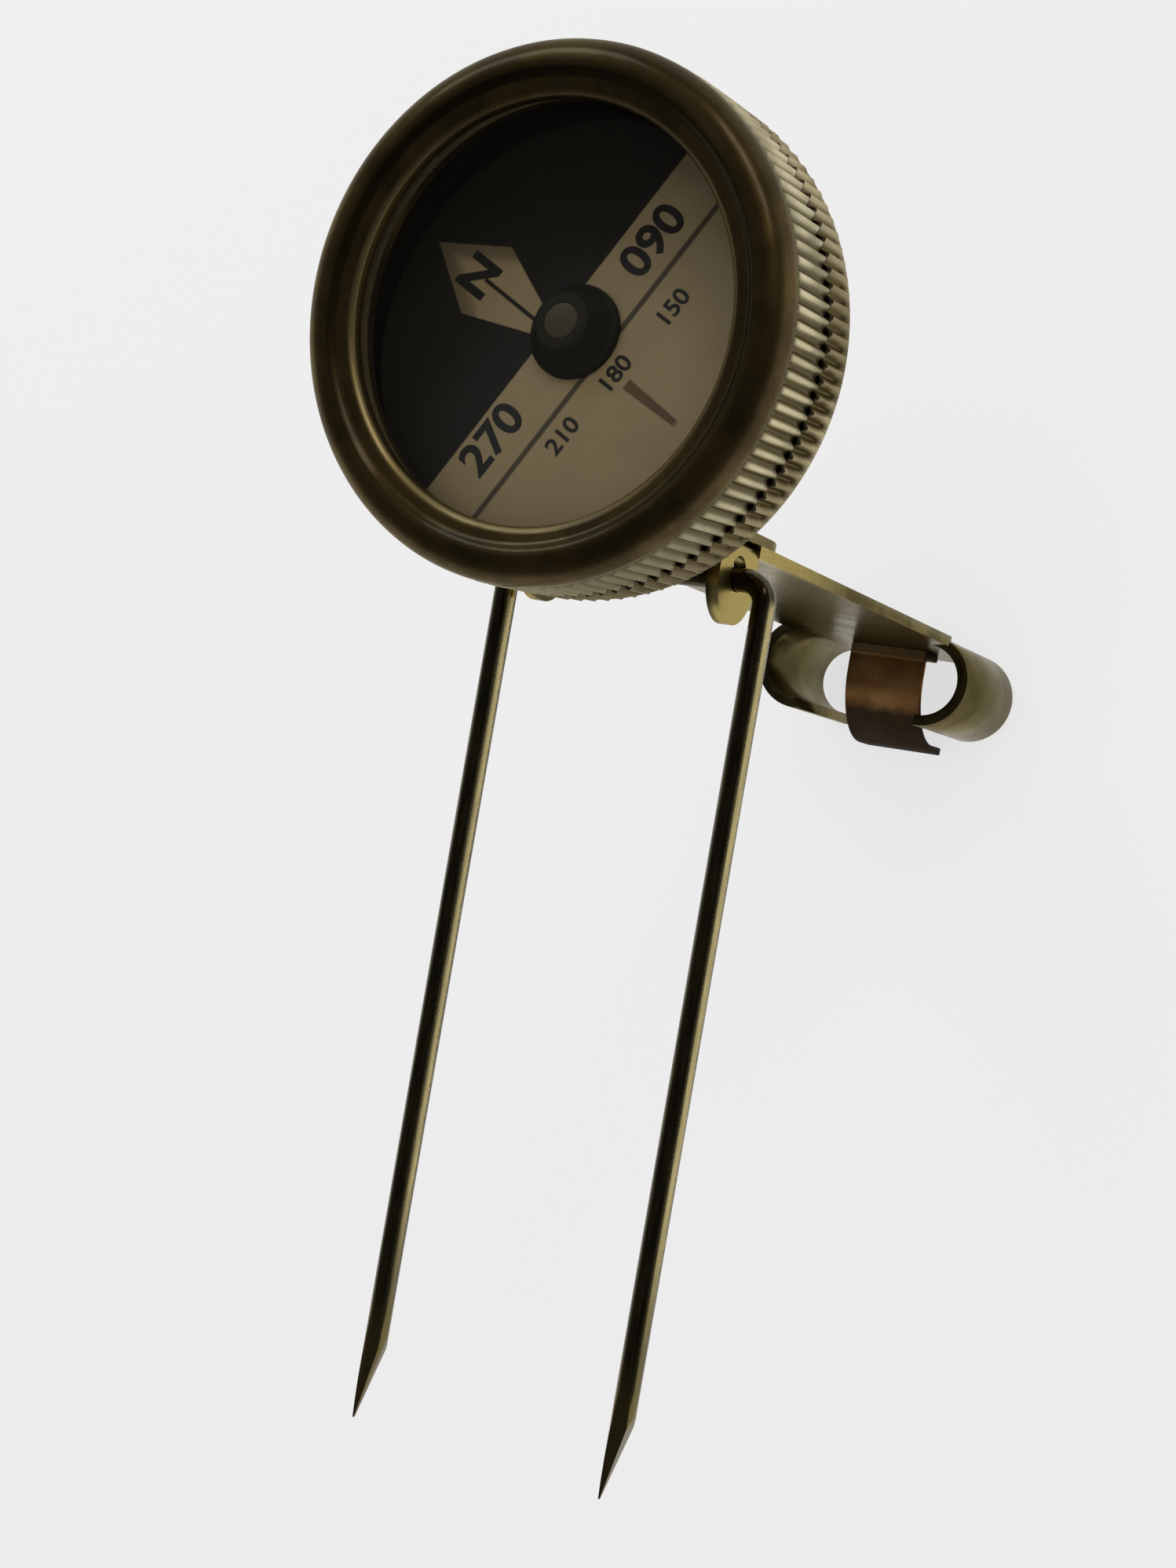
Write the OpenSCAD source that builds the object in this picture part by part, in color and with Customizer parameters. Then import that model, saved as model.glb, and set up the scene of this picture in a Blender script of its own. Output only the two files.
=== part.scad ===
// Clip-on compass: a knurled two-part case on a strap clip with a double pin.
// Millimetres. X runs along the double pin's hinge, +Y points from the garment
// towards the case, +Z is up and out of the dial. The origin lies on the strap's
// garment face, on the middle plane, and the garment mount sits there.

/* [Case] */
// Diameter over the knurled edge of both case halves
knurl_dia = 30; // [26:0.5:36]
// Number of knurl ridges round each half
knurl_ridges = 108; // [60:2:140]
// Depth of the grooves between the ridges
knurl_depth = 0.4; // [0.2:0.05:0.6]
// Open line between the rear half and the front half
seam_gap = 0.3; // [0.2:0.05:0.5]
// Depth of the rear half behind the middle of the seam
rear_depth = 3.3; // [3:0.1:6]
// Thickness of the rear half's floor
floor_thick = 1.2; // [0.8:0.1:1.4]
// Height of the front half's crown above the middle of the seam
crown_height = 6.3; // [6:0.05:6.6]
// Radius of the rounded shoulder between knurl and crown
shoulder_radius = 1.5; // [1.2:0.05:1.7]
// Height of the ridges above the middle of the seam
ridge_height = 4.1; // [3:0.1:4.2]
// Width of the front lip, from the ridges to the window
lip_width = 3.35; // [3:0.05:4.2]
// Height of the window's edge above the middle of the seam
lip_height = 5.65; // [5.4:0.05:6]
// Wall of the front half around the threaded collar, ridges included
front_wall = 1.05; // [0.9:0.05:1.6]
// Room between the collar and the front half's bore, on the radius
thread_clearance = 0.1; // [0.05:0.01:0.15]
// Wall of the rear half's threaded collar
collar_wall = 0.8; // [0.6:0.05:1]
// Height of the collar above the middle of the seam
collar_height = 2.6; // [1.5:0.1:2.8]

/* [Crystal] */
// How far the flat crystal reaches under the lip, on the radius
crystal_overlap = 0.95; // [0.7:0.05:1.1]
// Thickness of the crystal
crystal_thick = 1; // [0.8:0.1:1.2]
// Height of the crystal's front face above the middle of the seam
crystal_face = 4.95; // [4.8:0.05:5.1]
// Height of the gasket behind the crystal
gasket_height = 0.4; // [0.3:0.05:0.5]
// Width of the gasket, on the radius
gasket_width = 0.5; // [0.3:0.05:0.7]
// Height of the ring that clamps the gasket and crystal
clamp_height = 0.6; // [0.4:0.05:0.7]
// How far that ring reaches past the crystal's edge
clamp_step = 0.65; // [0.5:0.05:0.75]

/* [Dial] */
// Free room between the dial card's edge and the collar
card_gap = 0.35; // [0.25:0.05:1]
// Thickness of the dial card
card_thick = 0.2; // [0.15:0.05:0.4]
// Height of the card's printed face above the middle of the seam
card_height = 0.7; // [0.4:0.05:1]
// Diameter of the hub's flange on the card
hub_flange_dia = 5.5; // [4.5:0.1:6]
// Thickness of the hub's flange
hub_flange_thick = 0.55; // [0.4:0.05:0.8]
// Diameter of the hub's boss at its foot
hub_boss_dia = 4.9; // [4:0.1:5]
// Diameter of the hub's boss at its top
hub_top_dia = 3.3; // [3:0.1:3.6]
// Height of the hub's top above the middle of the seam
hub_height = 2.7; // [2.3:0.05:3]
// Diameter of the brass disc in the hub's top
hub_disc_dia = 2.1; // [1.6:0.1:2.4]
// Diameter of the stem that runs through card, washer and magnet
stem_dia = 2.6; // [2.2:0.1:3]
// Diameter of the friction washer under the card
washer_dia = 5; // [4:0.1:6]
// Thickness of the friction washer
washer_thick = 0.25; // [0.2:0.05:0.4]
// Length of the magnet bar
magnet_length = 17; // [12:0.5:20]
// Width of the magnet bar
magnet_width = 3.6; // [3.2:0.1:5]
// Thickness of the magnet bar
magnet_thick = 0.8; // [0.5:0.05:1]
// Direction of the printed north mark, turned from +X towards +Y
north_angle = 150; // [0:1:359]
// How far the free dial leans on its point towards +Y, in degrees
dial_lean = 9; // [0:0.5:9]
// Diameter of the pivot needle
pivot_dia = 0.7; // [0.5:0.05:1]
// Diameter of the boss that holds the needle in the floor
boss_dia = 3.4; // [2.6:0.1:4]
// Height of that boss above the floor
boss_height = 0.6; // [0.4:0.05:0.7]

/* [Clip] */
// Width of the strap
strap_width = 13.6; // [12:0.1:15]
// Sheet thickness of the strap, its ears and its catch
strap_thick = 0.8; // [0.6:0.05:1]
// How far the strap leans from square to the dial, in degrees
strap_lean = 3.94; // [0:0.01:8]
// Strap's case-side face above the pin's axis
strap_rise = 2.54; // [2.2:0.02:3]
// Pin axis below the middle of the dial
hinge_below = 12.27; // [11:0.01:14]
// Pin axis behind the middle of the seam
hinge_behind = 10.97; // [9:0.01:13]
// Radius of the ears around the pin
ear_radius = 2.75; // [2.2:0.05:3]
// Diameter of the slack holes in the ears
ear_hole_dia = 2.2; // [1.8:0.05:2.6]
// Room left under the pin, where it rests in its hole
pin_clearance = 0.04; // [0.02:0.01:0.1]
// Start of the catch, measured down the strap from the pin's axis
catch_start = 41.5; // [36:0.1:46]
// End of the catch, measured the same way
catch_end = 54; // [50:0.1:56]
// Width over the catch's two rolled sides
catch_width = 17.25; // [16:0.05:19]
// Depth of the catch's rolled sides
catch_depth = 7.1; // [6:0.1:8]
// Angle of each rolled side past square, in degrees
catch_wrap = 4; // [0:1:20]
// Width of the spring tongue
tongue_width = 6.3; // [4:0.1:7]
// Thickness of the spring tongue
tongue_thick = 0.6; // [0.4:0.05:0.8]
// Start of the tongue, measured down the strap from the pin's axis
tongue_start = 46.8; // [44:0.1:48]
// End of the tongue, measured the same way
tongue_end = 54.6; // [53.5:0.1:57]
// Depth of the tongue below the strap's case-side face
tongue_depth = 8.5; // [7.8:0.1:9]
// Radius of the tongue's bend
tongue_bend = 5.5; // [3:0.1:6]
// Length of the tongue's foot under the strap
tongue_foot = 3.2; // [2:0.1:5]

/* [Bracket] */
// Sheet thickness of the bracket between strap and case
bracket_thick = 0.7; // [0.5:0.05:0.9]
// Width of the bracket
bracket_width = 13.2; // [10:0.1:13.4]
// End of the bracket's foot, measured down the strap from the pin's axis
bracket_foot = 8.6; // [6:0.1:12]
// Height of the bracket's plate up the back of the case
bracket_plate = 9; // [5:0.1:12]
// Radius of the bracket's rounded corners
bracket_corner = 4; // [2:0.1:5]

/* [Double pin] */
// Diameter of the pin wire
wire_dia = 1.46; // [1.2:0.02:1.6]
// Distance between the two prongs, centre to centre
prong_gap = 17.54; // [17:0.02:18.4]
// Length of the prongs from the pin's axis to the points
prong_length = 55.3; // [54:0.1:60]
// Bend radius of the wire's centre line
wire_bend = 1.4; // [1.2:0.05:1.6]
// Length of the tapered points
point_length = 5.4; // [3:0.1:8]
// How far the prongs swing out of square with the dial, in degrees
prong_lift = 3.81; // [0:0.01:10]

/* [Hidden] */
// Smoothness of round shapes
$fn = 96;
// Room round the crystal and round its clamp ring
seat_room = 0.05;
// How far a cutting shape runs past what it cuts
past = 2;
// Distance of the garment mount down the strap from the pin's axis
mount_drop = 22;
// Small lap that lets joined bodies share volume
lap = 0.05;
// Play inside the hub around the needle, at the jewel and at the open end
needle_room = 0.25;
needle_flare = 0.6;
// Gap between needle point and jewel
point_gap = 0.03;
// Flat left at the very end of each prong
point_flat = 0.08;

knurl_r = knurl_dia / 2;
root_r = knurl_r - knurl_depth;
window_r = knurl_r - lip_width;
crystal_r = window_r + crystal_overlap;
clamp_r = crystal_r + clamp_step;
bore_r = knurl_r - front_wall;
collar_r = bore_r - thread_clearance;
collar_bore_r = collar_r - collar_wall;
card_r = collar_bore_r - card_gap;
wire_r = wire_dia / 2;
hole_r = ear_hole_dia / 2;
hole_lift = hole_r - wire_r - pin_clearance;
half_strap = strap_width / 2;
hinge_y = mount_drop * sin(strap_lean) - (strap_rise - strap_thick) * cos(strap_lean);
hinge_z = mount_drop * cos(strap_lean) + (strap_rise - strap_thick) * sin(strap_lean);
case_y = hinge_y + hinge_below;
case_z = hinge_z + hinge_behind;
floor_top = floor_thick - rear_depth;
bore_top = collar_height + 0.35;
crystal_back = crystal_face - crystal_thick;
gasket_back = crystal_back - gasket_height;
clamp_back = gasket_back - clamp_height;
jewel_height = hub_height - 0.75;
card_back = card_height - card_thick;
washer_back = card_back - washer_thick;
magnet_back = washer_back - magnet_thick;
lobe_r = catch_depth / 2;
lobe_x = catch_width / 2 - lobe_r;

// The strap's own frame: origin on the pin's axis, -Z down the strap
module on_strap() {
    translate([0, hinge_y, hinge_z]) rotate([-strap_lean, 0, 0]) children();
}

// The case's own frame: origin in the middle of the seam
module in_case() {
    translate([0, case_y, case_z]) children();
}

// The dial's own frame: the case's frame leaned about the needle's point
module on_dial() {
    in_case() translate([0, 0, jewel_height]) rotate([-dial_lean, 0, 0])
        translate([0, 0, -jewel_height]) children();
}

// The pin's own frame: cross part along X, prongs along -Y
module on_pin() {
    translate([0, hinge_y, hinge_z]) rotate([-prong_lift, 0, 0]) children();
}

// Side shapes drawn as (distance down the strap, height) and given a width
module side_plate(width) {
    rotate([0, 90, 0]) linear_extrude(height = width, center = true) children();
}

// Ridged outline shared by both case halves
module knurl_outline(phase) {
    step = 360 / knurl_ridges;
    polygon([for (i = [0 : knurl_ridges - 1]) each [
        root_r * [cos((i + phase) * step), sin((i + phase) * step)],
        knurl_r * [cos((i + phase + 0.27) * step), sin((i + phase + 0.27) * step)],
        knurl_r * [cos((i + phase + 0.61) * step), sin((i + phase + 0.61) * step)],
        root_r * [cos((i + phase + 0.88) * step), sin((i + phase + 0.88) * step)]
    ]]);
}

// Strap, ears and rolled catch, stamped from one sheet
module clip_strap() {
    color([0.62, 0.56, 0.32]) on_strap() {
        translate([-half_strap, strap_rise - strap_thick, -catch_start])
            cube([strap_width, strap_thick, catch_start + lap - ear_radius]);
        ear_channel();
        translate([-lobe_x - lap, strap_rise - strap_thick, -catch_end])
            cube([2 * lobe_x + 2 * lap, strap_thick, catch_end - catch_start + lap]);
        rolled_side();
        mirror([1, 0, 0]) rolled_side();
    }
}

// Bent channel that carries both ears and their holes
module ear_channel() {
    difference() {
        intersection() {
            translate([0, 0, -ear_radius]) linear_extrude(height = 2 * ear_radius)
                channel_outline();
            side_plate(strap_width + 2) {
                circle(r = ear_radius);
                translate([-ear_radius, 0]) square([2 * ear_radius, strap_rise + 1]);
            }
        }
        translate([0, hole_lift, 0]) rotate([0, 90, 0])
            cylinder(r = hole_r, h = strap_width + 2, center = true);
    }
}

// Cross-section of the channel, with rounded outer corners
module channel_outline() {
    bend = 1.1;
    difference() {
        union() {
            translate([-half_strap, -ear_radius - 1])
                square([strap_width, ear_radius + 1 + strap_rise - bend]);
            translate([bend - half_strap, 0]) square([strap_width - 2 * bend, strap_rise]);
            for (s = [-1, 1]) translate([s * (half_strap - bend), strap_rise - bend])
                circle(r = bend);
        }
        translate([strap_thick - half_strap, -ear_radius - 2])
            square([strap_width - 2 * strap_thick, ear_radius + 2 + strap_rise - strap_thick]);
    }
}

// One side of the catch, rolled round to a half ring
module rolled_side() {
    translate([lobe_x, strap_rise - lobe_r, -catch_end])
        intersection() {
            difference() {
                cylinder(r = lobe_r, h = catch_end - catch_start);
                translate([0, 0, -1])
                    cylinder(r = lobe_r - strap_thick, h = catch_end - catch_start + 2);
            }
            linear_extrude(height = catch_end - catch_start)
                polygon([[0, 0], [0, 2 * lobe_r], [2 * lobe_r, 2 * lobe_r],
                    [2 * lobe_r, -2 * lobe_r],
                    [-2 * lobe_r * sin(catch_wrap), -2 * lobe_r * cos(catch_wrap)]]);
        }
}

// Copper-coloured spring tongue between the rolled sides
module spring_tongue() {
    color([0.55, 0.33, 0.18]) on_strap() translate([0, strap_rise, 0])
        side_plate(tongue_width) {
            translate([tongue_start, -strap_thick - tongue_thick])
                square([tongue_foot, tongue_thick]);
            translate([tongue_start, tongue_bend - tongue_depth])
                square([tongue_thick, tongue_depth - tongue_bend - strap_thick]);
            translate([tongue_start + tongue_bend, tongue_bend - tongue_depth])
                intersection() {
                    difference() {
                        circle(r = tongue_bend);
                        circle(r = tongue_bend - tongue_thick);
                    }
                    translate([-2 * tongue_bend, -2 * tongue_bend])
                        square([2 * tongue_bend, 2 * tongue_bend]);
                }
            translate([tongue_start + tongue_bend - lap, -tongue_depth])
                square([tongue_end - tongue_start - tongue_bend + lap, tongue_thick]);
        }
}

// Bracket that joins the strap to the back of the case
module case_bracket() {
    back = -rear_depth - bracket_thick;
    color([0.58, 0.52, 0.3]) {
        difference() {
            on_strap() intersection() {
                translate([-bracket_width / 2, strap_rise, -bracket_foot])
                    cube([bracket_width, bracket_thick, bracket_foot + hinge_behind]);
                translate([0, strap_rise + 2, 0]) rotate([90, 0, 0]) linear_extrude(height = 3) {
                    translate([-bracket_width / 2, bracket_corner - bracket_foot])
                        square([bracket_width, hinge_behind + bracket_foot]);
                    translate([bracket_corner - bracket_width / 2, -bracket_foot])
                        square([bracket_width - 2 * bracket_corner, bracket_foot]);
                    for (s = [-1, 1])
                        translate([s * (bracket_width / 2 - bracket_corner),
                            bracket_corner - bracket_foot]) circle(r = bracket_corner);
                }
            }
            in_case() translate([-knurl_dia, -knurl_dia, -rear_depth])
                cube([2 * knurl_dia, 2 * knurl_dia, knurl_dia]);
        }
        in_case() bracket_plate_shape(back);
    }
}

// Upright plate of the bracket, soldered to the case's floor
module bracket_plate_shape(back) {
    low = -hinge_below + strap_rise / cos(strap_lean)
        + (hinge_behind - rear_depth) * tan(strap_lean);
    translate([0, 0, back]) linear_extrude(height = bracket_thick) {
        translate([-bracket_width / 2, low])
            square([bracket_width, bracket_plate - bracket_corner]);
        translate([bracket_corner - bracket_width / 2, low])
            square([bracket_width - 2 * bracket_corner, bracket_plate]);
        for (s = [-1, 1])
            translate([s * (bracket_width / 2 - bracket_corner),
                low + bracket_plate - bracket_corner]) circle(r = bracket_corner);
    }
}

// Rear half of the case: floor, ridged edge and threaded collar
module rear_case() {
    color([0.6, 0.54, 0.3]) in_case() difference() {
        union() {
            rotate_extrude() rear_outline();
            intersection() {
                translate([0, 0, -rear_depth]) linear_extrude(height = rear_depth)
                    knurl_outline(0.45);
                rotate_extrude() polygon([[root_r - 1, 0.3 - rear_depth],
                    [root_r + 0.05, 0.3 - rear_depth], [knurl_r, 0.6 - rear_depth],
                    [knurl_r, -seam_gap / 2], [root_r - 1, -seam_gap / 2]]);
            }
        }
        translate([0, 0, -rear_depth - 1]) cylinder(r = boss_dia / 4, h = floor_thick + 2);
    }
}

// Inner profile of the rear half, inside the ridges
module rear_outline() {
    polygon([[0, -rear_depth], [root_r - 0.3, -rear_depth], [root_r, 0.3 - rear_depth],
        [root_r, -seam_gap / 2], [collar_r, -seam_gap / 2],
        [collar_r, collar_height], [collar_bore_r, collar_height],
        [collar_bore_r, floor_top], [0, floor_top]]);
}

// Brass boss pressed into the floor
module pivot_boss() {
    color([0.66, 0.58, 0.34]) in_case() difference() {
        union() {
            translate([0, 0, -rear_depth]) cylinder(r = boss_dia / 4, h = floor_thick + lap);
            translate([0, 0, floor_top]) cylinder(r = boss_dia / 2, h = boss_height);
        }
        translate([0, 0, -rear_depth + 0.4]) cylinder(r = pivot_dia / 2, h = rear_depth + 2);
    }
}

// Steel needle that carries the dial
module pivot_needle() {
    tip = jewel_height - point_gap;
    color([0.75, 0.75, 0.77]) in_case() {
        translate([0, 0, 0.4 - rear_depth])
            cylinder(r = pivot_dia / 2, h = tip - 0.9 + rear_depth - 0.4);
        translate([0, 0, tip - 0.9]) cylinder(r1 = pivot_dia / 2, r2 = 0.05, h = 0.9);
    }
}

// Printed dial card
module dial_card() {
    color([0.86, 0.83, 0.72]) on_dial() difference() {
        translate([0, 0, card_back]) cylinder(r = card_r, h = card_thick);
        translate([0, 0, card_back - past])
            cylinder(r = stem_dia / 2 + 0.02, h = card_thick + 2 * past);
    }
}

// Friction washer that lets the card be reset on the hub
module friction_washer() {
    color([0.25, 0.25, 0.26]) on_dial() difference() {
        translate([0, 0, washer_back]) cylinder(r = washer_dia / 2, h = washer_thick - 0.01);
        translate([0, 0, washer_back - past])
            cylinder(r = stem_dia / 2, h = washer_thick + 2 * past);
    }
}

// Magnet bar under the card, along the magnetic north line
module magnet_bar() {
    color([0.35, 0.36, 0.38]) on_dial() difference() {
        rotate([0, 0, north_angle]) intersection() {
            translate([-magnet_length / 2, -magnet_width / 2, magnet_back])
                cube([magnet_length, magnet_width, magnet_thick]);
            translate([0, 0, magnet_back - past])
                cylinder(r = magnet_length / 2, h = magnet_thick + 2 * past);
        }
        translate([0, 0, magnet_back - past])
            cylinder(r = stem_dia / 2, h = magnet_thick + 2 * past);
    }
}

// Dark hub with its flange, boss and stem
module dial_hub() {
    color([0.16, 0.15, 0.13]) on_dial() difference() {
        union() {
            translate([0, 0, magnet_back])
                cylinder(r = stem_dia / 2, h = card_height + 0.01 - magnet_back + lap);
            translate([0, 0, card_height + 0.01])
                cylinder(r = hub_flange_dia / 2, h = hub_flange_thick);
            translate([0, 0, card_height + hub_flange_thick])
                cylinder(r1 = hub_boss_dia / 2, r2 = hub_top_dia / 2,
                    h = hub_height - card_height - hub_flange_thick);
        }
        translate([0, 0, magnet_back])
            cylinder(r1 = pivot_dia / 2 + needle_flare, r2 = pivot_dia / 2 + needle_room,
                h = jewel_height - 0.5 - magnet_back);
        translate([0, 0, jewel_height - 0.5 - lap])
            cylinder(r = pivot_dia / 2 + needle_room, h = hub_height - 0.2 - jewel_height + 0.5 + lap);
        translate([0, 0, hub_height - 0.2]) cylinder(r = hub_disc_dia / 2, h = past);
    }
}

// Brass disc in the top of the hub
module hub_disc() {
    color([0.7, 0.6, 0.4]) on_dial() translate([0, 0, hub_height - 0.2])
        cylinder(r = hub_disc_dia / 2, h = 0.25);
}

// Jewel that rides on the needle's point
module pivot_jewel() {
    color([0.75, 0.2, 0.3]) on_dial() translate([0, 0, jewel_height])
        cylinder(r = pivot_dia / 2 + needle_room, h = 0.55);
}

// Front half of the case: ridged edge, rounded shoulder and window
module bezel_ring() {
    color([0.45, 0.36, 0.2]) in_case() difference() {
        union() {
            rotate_extrude() bezel_outline();
            intersection() {
                linear_extrude(height = crown_height) knurl_outline(0);
                rotate_extrude() polygon([[root_r - 1, seam_gap / 2],
                    [knurl_r, seam_gap / 2], [knurl_r, ridge_height - 0.2],
                    [knurl_r - 0.2, ridge_height], [root_r - 1, ridge_height]]);
            }
        }
        cylinder(r = bore_r, h = bore_top);
        translate([0, 0, bore_top - lap])
            cylinder(r = clamp_r + seat_room, h = gasket_back - bore_top + lap);
        translate([0, 0, gasket_back - lap])
            cylinder(r = crystal_r + seat_room, h = crystal_face - gasket_back + lap);
    }
}

// Outer profile of the front half
module bezel_outline() {
    side_r = knurl_r - 0.08;
    cx = side_r - shoulder_radius;
    cz = crown_height - shoulder_radius;
    crown_r = window_r + 0.75;
    difference() {
        union() {
            translate([window_r, seam_gap / 2]) square([root_r - window_r, cz - seam_gap / 2]);
            polygon([[root_r - 1, ridge_height - 0.5], [root_r, ridge_height - 0.5],
                [side_r, ridge_height + 0.3], [side_r, cz], [root_r - 1, cz]]);
            translate([window_r, 1]) square([cx - window_r, crown_height - 1]);
            intersection() {
                translate([cx, cz]) circle(r = shoulder_radius);
                translate([cx, cz]) square(2 * shoulder_radius);
            }
        }
        polygon([[window_r - 1, lip_height], [window_r, lip_height],
            [crown_r, lip_height + 0.32], [crown_r + 0.45, crown_height - 0.1],
            [crown_r + 0.7, crown_height], [crown_r + 0.7, crown_height + 1],
            [window_r - 1, crown_height + 1]]);
    }
}

// Flat crystal
module crystal() {
    color([0.8, 0.88, 0.9, 0.4]) in_case() translate([0, 0, crystal_back])
        cylinder(r = crystal_r, h = crystal_thick);
}

// Rubber gasket behind the crystal
module crystal_gasket() {
    color([0.08, 0.08, 0.08]) in_case() translate([0, 0, gasket_back]) difference() {
        cylinder(r = crystal_r, h = gasket_height);
        translate([0, 0, -past])
            cylinder(r = crystal_r - gasket_width, h = gasket_height + 2 * past);
    }
}

// Brass ring that clamps gasket and crystal
module clamp_ring() {
    color([0.6, 0.53, 0.3]) in_case() translate([0, 0, clamp_back]) difference() {
        cylinder(r = clamp_r, h = clamp_height);
        translate([0, 0, -past])
            cylinder(r = crystal_r - gasket_width, h = clamp_height + 2 * past);
    }
}

// Wire bent to a U: hinge part through the ears and two pointed prongs
module double_pin() {
    color([0.42, 0.36, 0.18]) on_pin() {
        rotate([0, 90, 0])
            cylinder(r = wire_r, h = prong_gap - 2 * wire_bend, center = true);
        prong(1);
        prong(-1);
    }
}

// One bend, one prong and its point
module prong(side) {
    start = prong_gap / 2 - wire_bend;
    tip = -prong_length;
    shoulder = tip + point_length;
    flank = tip + 1.2 * point_length;
    mirror([side < 0 ? 1 : 0, 0, 0]) translate([start, -wire_bend, 0])
        rotate_extrude(angle = 90) translate([wire_bend, 0]) circle(r = wire_r);
    translate([side * prong_gap / 2, 0, 0]) intersection() {
        translate([0, -wire_bend, 0]) rotate([90, 0, 0])
            cylinder(r = wire_r, h = prong_length - wire_bend);
        translate([0, 0, -wire_dia]) linear_extrude(height = 2 * wire_dia)
            polygon([[-wire_dia, 0], [wire_dia, 0], [wire_dia, shoulder], [wire_r, shoulder],
                [point_flat - wire_r, tip], [-wire_dia, tip]]);
        translate([-wire_dia, 0, 0]) rotate([0, 90, 0]) linear_extrude(height = 2 * wire_dia)
            polygon([[-wire_dia, 0], [wire_dia, 0], [wire_dia, flank], [wire_r, flank],
                [point_flat, tip], [-point_flat, tip], [-wire_r, flank], [-wire_dia, flank]]);
    }
}

clip_strap();
spring_tongue();
case_bracket();
rear_case();
pivot_boss();
pivot_needle();
dial_card();
friction_washer();
magnet_bar();
dial_hub();
hub_disc();
pivot_jewel();
bezel_ring();
crystal();
crystal_gasket();
clamp_ring();
double_pin();
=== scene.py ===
import math

import bmesh
import bpy
from mathutils import Matrix, Vector


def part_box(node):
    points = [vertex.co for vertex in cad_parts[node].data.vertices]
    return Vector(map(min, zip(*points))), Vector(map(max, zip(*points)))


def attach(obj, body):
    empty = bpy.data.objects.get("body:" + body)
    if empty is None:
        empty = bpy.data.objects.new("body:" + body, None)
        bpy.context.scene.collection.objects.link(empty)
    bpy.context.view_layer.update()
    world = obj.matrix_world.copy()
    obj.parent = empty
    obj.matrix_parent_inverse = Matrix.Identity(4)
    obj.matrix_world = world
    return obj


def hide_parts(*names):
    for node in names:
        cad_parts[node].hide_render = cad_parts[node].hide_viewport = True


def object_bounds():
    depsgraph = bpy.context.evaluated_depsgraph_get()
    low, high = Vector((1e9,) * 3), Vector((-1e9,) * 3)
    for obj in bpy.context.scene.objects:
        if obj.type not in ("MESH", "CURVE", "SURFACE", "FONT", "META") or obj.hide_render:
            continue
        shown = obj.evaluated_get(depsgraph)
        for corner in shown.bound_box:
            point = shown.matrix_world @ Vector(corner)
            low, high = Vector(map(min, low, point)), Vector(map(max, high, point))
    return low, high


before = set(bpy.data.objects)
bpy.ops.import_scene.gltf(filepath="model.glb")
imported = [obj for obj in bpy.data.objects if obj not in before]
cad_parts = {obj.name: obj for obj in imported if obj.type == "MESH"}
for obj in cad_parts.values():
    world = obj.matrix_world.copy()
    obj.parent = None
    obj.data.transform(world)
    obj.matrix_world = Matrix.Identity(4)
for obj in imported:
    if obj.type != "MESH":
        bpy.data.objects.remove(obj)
cad_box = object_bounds()

# Clip-on compass. Pieces are drawn in millimetres and put in place in metres.
# Radii are about the case's axis, and heights are above the middle of its seam.

# Ridges round both halves of the case, and the broken edges along the seam
KNURL_R = 15.0
ROOT_R = 14.6
RIDGES = 108
STEPS_A_RIDGE = 8
REAR_PHASE = 0.45
HALF_SEAM = 0.09
SEAM_EDGE = 0.24
SEAM_EDGE_R = 14.88

# Pointed ends of the front ridges, and the crown's skirt that they rise out of
RIDGE_TOP = 4.75
POINTED_END = 0.45
SKIRT_HEIGHT = 0.95
SKIRT_SWELL = 0.32
SKIRT_CURVE = 1.5

# Crown, window and the steps inside the front half
SIDE_R = 14.92
CROWN_TOP = 6.3
SHOULDER_R = 1.5
CREST_R = SIDE_R - SHOULDER_R
SHOULDER_FOOT = CROWN_TOP - SHOULDER_R
WINDOW_R = 11.65
PANE_R = 12.6
PANE_BACK = 3.95
PANE_FACE = 4.95
PANE_SEAT_R = PANE_R + 0.06
PANE_SEAT = PANE_FACE + 0.02
GASKET_BACK = 3.55
CLAMP_SEAT_R = 13.32
BORE_R = 13.98
BORE_TOP = 2.95

# Rear half, with the collar that carries the thread
REAR_BACK = -3.3
FLOOR_TOP = -2.1
COLLAR_R = 13.85
COLLAR_BORE_R = 13.05
COLLAR_TOP = 2.6
BOSS_HOLE_R = 0.86

# Dial, which leans about the needle's point in its jewel
CARD_FACE = 0.7
JEWEL = 1.95
NORTH = math.radians(150)
DIAL_LEAN = math.radians(9)

# Pin wire, and its axis below and behind the case's middle
WIRE_R = 0.73
PRONG_GAP = 17.54
WIRE_BEND = 1.4
PRONG_LENGTH = 55.3
POINT_LENGTH = 5.4
PRONG_LIFT = math.radians(3.81)
HINGE_BELOW = 12.27
HINGE_BEHIND = 10.97

# Strap, and the height in the part's frame at which its ears start
HALF_STRAP = 6.8
EARS_FOOT = 18.5

# Middle of the case at its seam, and middle of the pin's axis, in the part's frame
pane_low, pane_high = (corner * 1000 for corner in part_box("crystal"))
CASE = Vector((0, (pane_low.y + pane_high.y) / 2, pane_high.z - PANE_FACE))
HINGE = CASE - Vector((0, HINGE_BELOW, HINGE_BEHIND))

# The frames that pieces are drawn in: the part's own, the case's, the dial's and the pin's
TO_METRES = Matrix.Scale(0.001, 4)
IN_CASE = TO_METRES @ Matrix.Translation(CASE)
ON_DIAL = (IN_CASE @ Matrix.Translation((0, 0, JEWEL)) @ Matrix.Rotation(-DIAL_LEAN, 4, "X")
           @ Matrix.Translation((0, 0, -JEWEL)))
ON_PIN = TO_METRES @ Matrix.Translation(HINGE) @ Matrix.Rotation(-PRONG_LIFT, 4, "X")


# Shader maths

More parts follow.
